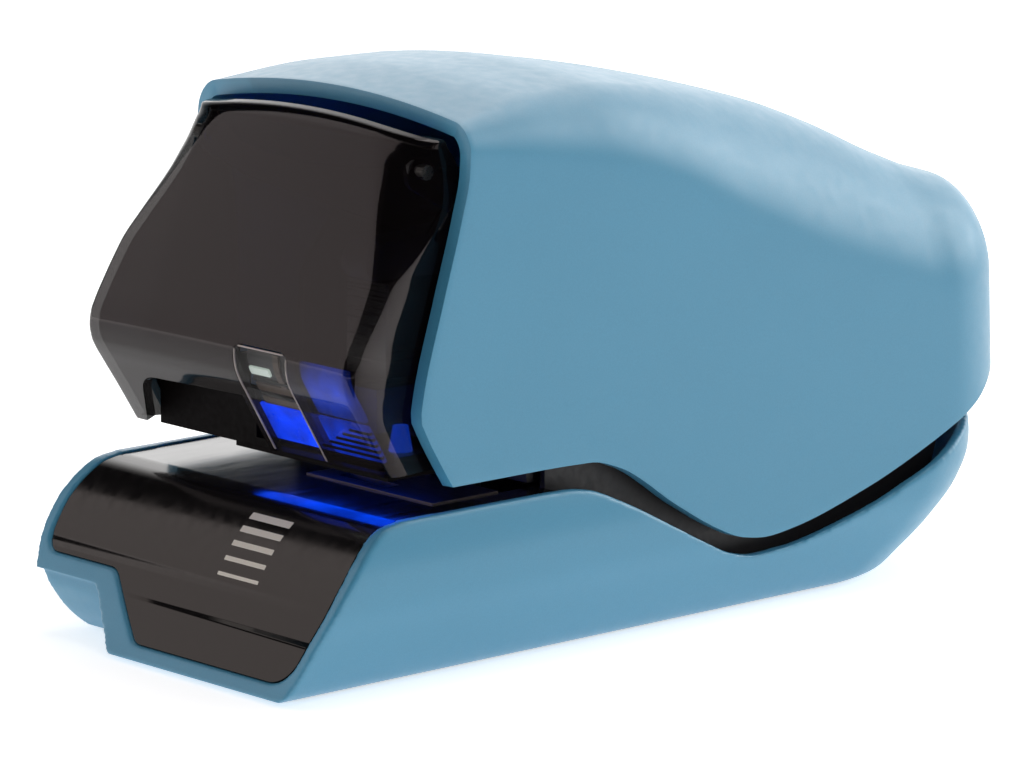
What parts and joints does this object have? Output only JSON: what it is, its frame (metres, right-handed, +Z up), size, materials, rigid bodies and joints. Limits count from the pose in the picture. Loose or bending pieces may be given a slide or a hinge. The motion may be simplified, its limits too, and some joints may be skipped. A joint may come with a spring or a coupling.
{
  "type": "electric stapler",
  "caption": "Desktop electric stapler with a satin blue housing over a boat-shaped base, a smoked front cover, a lit staple window and a black paper slope.",
  "frame": {"origin": "on the table under the centre of the overall box", "axes": "+Z is up, -Y is the front where the paper goes in, and +X is on the right when looking at the front"},
  "size_m": [0.0986, 0.215, 0.1195],
  "materials": {
    "satin_blue": "satin painted plastic with a fine even grain",
    "gloss_black": "high gloss",
    "smoked_plastic": "dark smoked, polished",
    "clear_plastic": "clear, polished",
    "black_plastic": "fine matte",
    "rubber": "matte",
    "steel": "brushed",
    "zinc_plate": "zinc plated, satin",
    "brass": "machined",
    "white_nylon": "moulded nylon",
    "grey_plastic": "moulded",
    "circuit_green": "lacquered board",
    "lamp_blue": "clear blue, lit"
  },
  "bodies": {
    "chassis": {"anvil_plate": "steel", "base_shell": "satin_blue", "board_capacitor": "black_plastic", "board_connector": "white_nylon", "bottom_cover": "black_plastic", "bottom_screw_front_left": "steel", "bottom_screw_front_right": "steel", "bottom_screw_rear_left": "steel", "bottom_screw_rear_right": "steel", "circuit_board": "circuit_green", "foot_front_left": "rubber", "foot_front_right": "rubber", "foot_rear_left": "rubber", "foot_rear_right": "rubber", "front_panel": "gloss_black", "head_pivot_shaft": "steel", "head_tray": "black_plastic", "hinge_arm_left": "zinc_plate", "hinge_arm_right": "zinc_plate", "idler_axle": "steel", "lamp": "lamp_blue", "lamp_board": "circuit_green", "left_side_frame": "black_plastic", "lever_pivot_shaft": "steel", "motor": "steel", "motor_bracket": "zinc_plate", "motor_relay": "black_plastic", "paper_stop": "black_plastic", "power_inlet": "black_plastic", "rear_frame": "black_plastic", "right_side_frame": "black_plastic", "switch_housing": "black_plastic", "upper_housing": "satin_blue", "visor_pin_left": "steel", "visor_pin_right": "steel"},
    "visor": {"visor_cover": "smoked_plastic", "visor_window": "clear_plastic"},
    "cam": {"cam_shaft": "steel", "cam_gear": "white_nylon", "drive_cam": "zinc_plate"},
    "idler": {"idler_gear": "white_nylon"},
    "motor_rotor": {"motor_pinion": "brass", "motor_shaft": "steel"},
    "head": {"head_frame": "zinc_plate", "head_nose": "steel"},
    "cassette": {"staple_cassette": "grey_plastic", "staple_strip": "steel"},
    "pusher": {"strip_pusher": "black_plastic"},
    "driver": {"driver_blade": "steel"},
    "lever": {"drive_lever": "zinc_plate", "cam_roller": "steel"},
    "clincher": {"clincher": "steel"},
    "trigger": {"paper_trigger": "black_plastic"},
    "switch": {"power_switch": "black_plastic"}
  },
  "joints": [
    {"name": "visor_hinge", "type": "hinge", "parent": "chassis", "child": "visor", "pos_m": [0, -0.0645, 0.104], "axis": [-1, 0, 0], "range_deg": [0, 50]},
    {"name": "cam_turn", "type": "hinge", "parent": "chassis", "child": "cam", "pos_m": [0, 0.04, 0.066], "axis": [1, 0, 0], "range_deg": [0, 180]},
    {"name": "idler_turn", "type": "hinge", "parent": "chassis", "child": "idler", "pos_m": [0, 0.05802, 0.05338], "axis": [1, 0, 0], "range_deg": [-721, 1]},
    {"name": "motor_turn", "type": "hinge", "parent": "chassis", "child": "motor_rotor", "pos_m": [0, 0.07681, 0.04654], "axis": [1, 0, 0], "range_deg": [-1, 2881]},
    {"name": "head_tilt", "type": "hinge", "parent": "chassis", "child": "head", "pos_m": [0, 0.01, 0.053], "axis": [1, 0, 0], "range_deg": [0, 4.04]},
    {"name": "driver_slide", "type": "slide", "parent": "head", "child": "driver", "axis": [0, 0, -1], "range_m": [0, 0.0116]},
    {"name": "cassette_slide", "type": "slide", "parent": "head", "child": "cassette", "axis": [0, 1, 0], "range_m": [-0.0105, 0]},
    {"name": "pusher_slide", "type": "slide", "parent": "cassette", "child": "pusher", "axis": [0, 1, 0], "range_m": [0, 0.0065], "stiffness_N_per_m": 20},
    {"name": "lever_swing", "type": "hinge", "parent": "chassis", "child": "lever", "pos_m": [0, -0.004, 0.0824], "axis": [1, 0, 0], "range_deg": [0, 17.08]},
    {"name": "clincher_lift", "type": "slide", "parent": "chassis", "child": "clincher", "axis": [0, 0, 1], "range_m": [0, 0.0021]},
    {"name": "trigger_swing", "type": "hinge", "parent": "chassis", "child": "trigger", "pos_m": [0, -0.033, 0.0275], "axis": [-1, 0, 0], "range_deg": [0, 8], "stiffness_Nm_per_rad": 0.02},
    {"name": "switch_slide", "type": "slide", "parent": "chassis", "child": "switch", "axis": [1, 0, 0], "range_m": [0, 0.0055]}
  ],
  "couplings": [
    {"joint": "idler_turn", "follows": "cam_turn", "ratio": -4},
    {"joint": "motor_turn", "follows": "cam_turn", "ratio": 16},
    {"joint": "head_tilt", "follows": "cam_turn", "ratio": 0.022143},
    {"joint": "driver_slide", "follows": "cam_turn", "m_per_rad": 0.0036606},
    {"joint": "lever_swing", "follows": "cam_turn", "ratio": 0.094335},
    {"joint": "clincher_lift", "follows": "cam_turn", "m_per_rad": 0.00063662}
  ]
}
